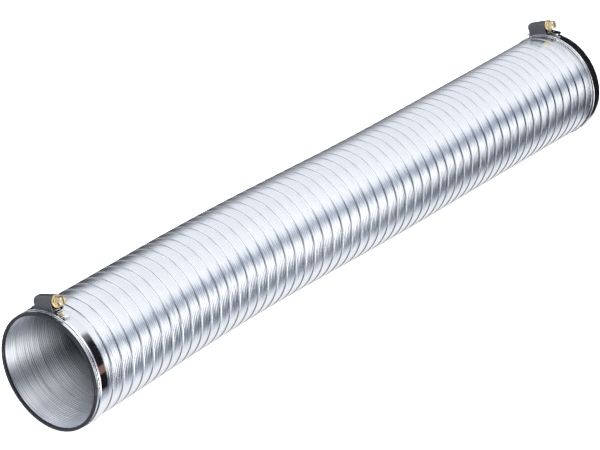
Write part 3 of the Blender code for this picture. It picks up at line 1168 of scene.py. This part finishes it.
def make_world():
    """Soft boxes as long strips beside and above the duct, with dark gaps between them, and a dark room
    beyond the duct's far end. The camera itself sees white."""
    world = bpy.data.worlds.new("studio")
    bpy.context.scene.world = world
    world.use_nodes = True
    tree = world.node_tree
    tree.nodes.clear()
    direction = add(tree, "ShaderNodeTexCoord").outputs["Generated"]
    axes = add(tree, "ShaderNodeSeparateXYZ", {0: direction})
    towards = maths(tree, "MULTIPLY", axes.outputs["Y"], -1.0)
    turn = maths(tree, "ARCTAN2", towards, axes.outputs["Z"])
    around = spread(tree, turn, -math.pi, math.pi, 0.0, 1.0)
    near, far, beyond, mouth = [
        ring_of_light(tree, around, stops)
        for stops in (NEAR_LIGHT, FAR_LIGHT, BEYOND_LIGHT, MOUTH_LIGHT)
    ]
    along = axes.outputs["X"]
    lit = blended(tree, along, STRIP_EDGES, near, far)
    lit = blended(tree, along, BEYOND_EDGES, lit, beyond)
    lit = blended(tree, along, MOUTH_EDGES, mouth, lit)
    soft = add(tree, "ShaderNodeBackground", {"Color": lit, "Strength": WORLD_STRENGTH})
    white = add(tree, "ShaderNodeBackground", {"Color": (1, 1, 1, 1), "Strength": 1.0})
    seen = add(tree, "ShaderNodeLightPath").outputs["Is Camera Ray"]
    both = add(tree, "ShaderNodeMixShader", {0: seen, 1: soft.outputs[0], 2: white.outputs[0]})
    out = add(tree, "ShaderNodeOutputWorld")
    tree.links.new(both.outputs[0], out.inputs["Surface"])


def make_floor():
    """A plain white floor that is lit a little from within, as in a cyclorama."""
    size = FLOOR_HALF
    corners = [(-size, -size, 0), (size, -size, 0), (size, size, 0), (-size, size, 0)]
    mesh = mesh_of("floor", corners, [(0, 1, 2, 3)])
    floor = bpy.data.objects.new("floor", mesh)
    bpy.context.scene.collection.objects.link(floor)
    floor.location.z = -FLOOR_DROP
    floor.visible_glossy = False
    made, _, shader = new_material("floor_white")
    shader.inputs["Base Color"].default_value = (FLOOR_TONE, FLOOR_TONE, FLOOR_TONE, 1)
    shader.inputs["Roughness"].default_value = 0.9
    shader.inputs["Specular IOR Level"].default_value = 0.1
    shader.inputs["Emission Color"].default_value = (1, 1, 1, 1)
    shader.inputs["Emission Strength"].default_value = FLOOR_GLOW
    mesh.materials.append(made)


def make_camera():
    camera = bpy.data.objects.new("camera", bpy.data.cameras.new("camera"))
    bpy.context.scene.collection.objects.link(camera)
    back = Vector(
        (
            math.sin(AZIMUTH) * math.cos(ELEVATION),
            -math.cos(AZIMUTH) * math.cos(ELEVATION),
            math.sin(ELEVATION),
        )
    )
    camera.location = Vector((0, 0, AXIS_Z)) + back * DISTANCE
    camera.rotation_mode = "QUATERNION"
    camera.rotation_quaternion = (-back).to_track_quat("-Z", "Y")
    camera.data.lens = LENS
    camera.data.shift_x, camera.data.shift_y = SHIFT
    camera.data.clip_end = 60
    bpy.context.scene.camera = camera


def make_key_light():
    """A square soft light that neither the camera nor reflections see."""
    light = bpy.data.lights.new("key", "AREA")
    light.energy = KEY_POWER
    light.size = KEY_SIZE
    made = bpy.data.objects.new("key", light)
    bpy.context.scene.collection.objects.link(made)
    made.location = KEY_PLACE
    made.rotation_mode = "QUATERNION"
    towards = Vector((0, 0, AXIS_Z)) - made.location
    made.rotation_quaternion = towards.to_track_quat("-Z", "Y")
    made.visible_camera = False
    made.visible_glossy = False


def make_flag(end, low, high, stretch, stops):
    """A card curved round the duct close to a clamp band, seen only in reflections. It reaches from
    low to high along +X, and further by that stretch for each radian before the top."""
    centre_x = JOINTS[f"{end}_clamp_turn"]["pos_m"][0]
    radius = BAND_OUT_R + FLAG_HEIGHT
    first, last = stops[0][0], stops[-1][0]
    points, faces = [], []
    for i in range(FLAG_STEPS + 1):
        turn = math.radians(first + (last - first) * i / FLAG_STEPS)
        y, z = -radius * math.sin(turn), AXIS_Z + radius * math.cos(turn)
        reach = high * (1.0 + stretch * max(0.0, -turn))
        points += [(centre_x + low, y, z), (centre_x + reach, y, z)]
        if i:
            faces.append((2 * i - 2, 2 * i - 1, 2 * i + 1, 2 * i))
    mesh = mesh_of(f"{end}_flag", points, faces)
    card = bpy.data.objects.new(f"{end}_flag", mesh)
    bpy.context.scene.collection.objects.link(card)
    made = bpy.data.materials.new(f"{end}_flag")
    made.use_nodes = True
    tree = made.node_tree
    tree.nodes.clear()
    place = add(tree, "ShaderNodeNewGeometry").outputs["Position"]
    axes = add(tree, "ShaderNodeSeparateXYZ", {0: place})
    towards = maths(tree, "MULTIPLY", axes.outputs["Y"], -1.0)
    up = maths(tree, "SUBTRACT", axes.outputs["Z"], AXIS_Z)
    turn = maths(tree, "ARCTAN2", towards, up)
    along = spread(tree, turn, math.radians(first), math.radians(last), 0.0, 1.0)
    ramp = add(tree, "ShaderNodeValToRGB", {"Fac": along})
    elements = ramp.color_ramp.elements
    elements.remove(elements[-1])
    for i, (degrees, colour, opacity) in enumerate(stops):
        share = (degrees - first) / (last - first)
        element = elements[0] if i == 0 else elements.new(share)
        element.position = share
        element.color = (*colour, opacity)
    clear = add(tree, "ShaderNodeBsdfTransparent")
    shade = add(tree, "ShaderNodeEmission", {"Color": ramp.outputs["Color"], "Strength": 1.0})
    both = add(
        tree,
        "ShaderNodeMixShader",
        {0: ramp.outputs["Alpha"], 1: clear.outputs[0], 2: shade.outputs[0]},
    )
    out = add(tree, "ShaderNodeOutputMaterial")
    tree.links.new(both.outputs[0], out.inputs["Surface"])
    mesh.materials.append(made)
    card.visible_camera = False
    card.visible_diffuse = False
    card.visible_shadow = False
    card.visible_transmission = False


def main():
    make_camera()
    make_world()
    make_floor()
    make_key_light()
    make_flag("near", *NEAR_FLAG_REACH, NEAR_FLAG)
    make_flag("far", *FAR_FLAG_REACH, FAR_FLAG)
    bpy.context.scene.view_settings.view_transform = "Standard"
    outer = aluminium_material(
        "duct_aluminium", rough=(0.13, 0.24), line_depth=0.06 * MM, stretched=0.0, sway=0.10
    )
    inner = aluminium_material(
        "duct_aluminium_inside",
        rough=(0.44, 0.56),
        line_depth=0.12 * MM,
        stretched=0.92,
        sway=0.06,
        deep_shade=(26 * MM, 60 * MM),
    )
    make_duct_wall(outer, inner)
    # the edge rings' near-black colour is painted shade
    ring_shade = edge_ring_shade_material()
    make_edge_ring("near", SECTIONS[0], ring_shade)
    make_edge_ring("far", SECTIONS[-1], ring_shade)
    steel = band_material()
    # the slit edges' dark material is painted shade
    edge_shade = edge_shade_material()
    dark = housing_material()
    brass = screw_material()
    for end in ("near", "far"):
        clamp, worm = clamp_frames(end)
        make_band(end, clamp.translation, steel)
        make_saddle(end, clamp, dark)
        make_tail(end, clamp, steel, edge_shade)
        make_housing(end, clamp, worm, dark)
        make_screw(end, worm, brass)


main()
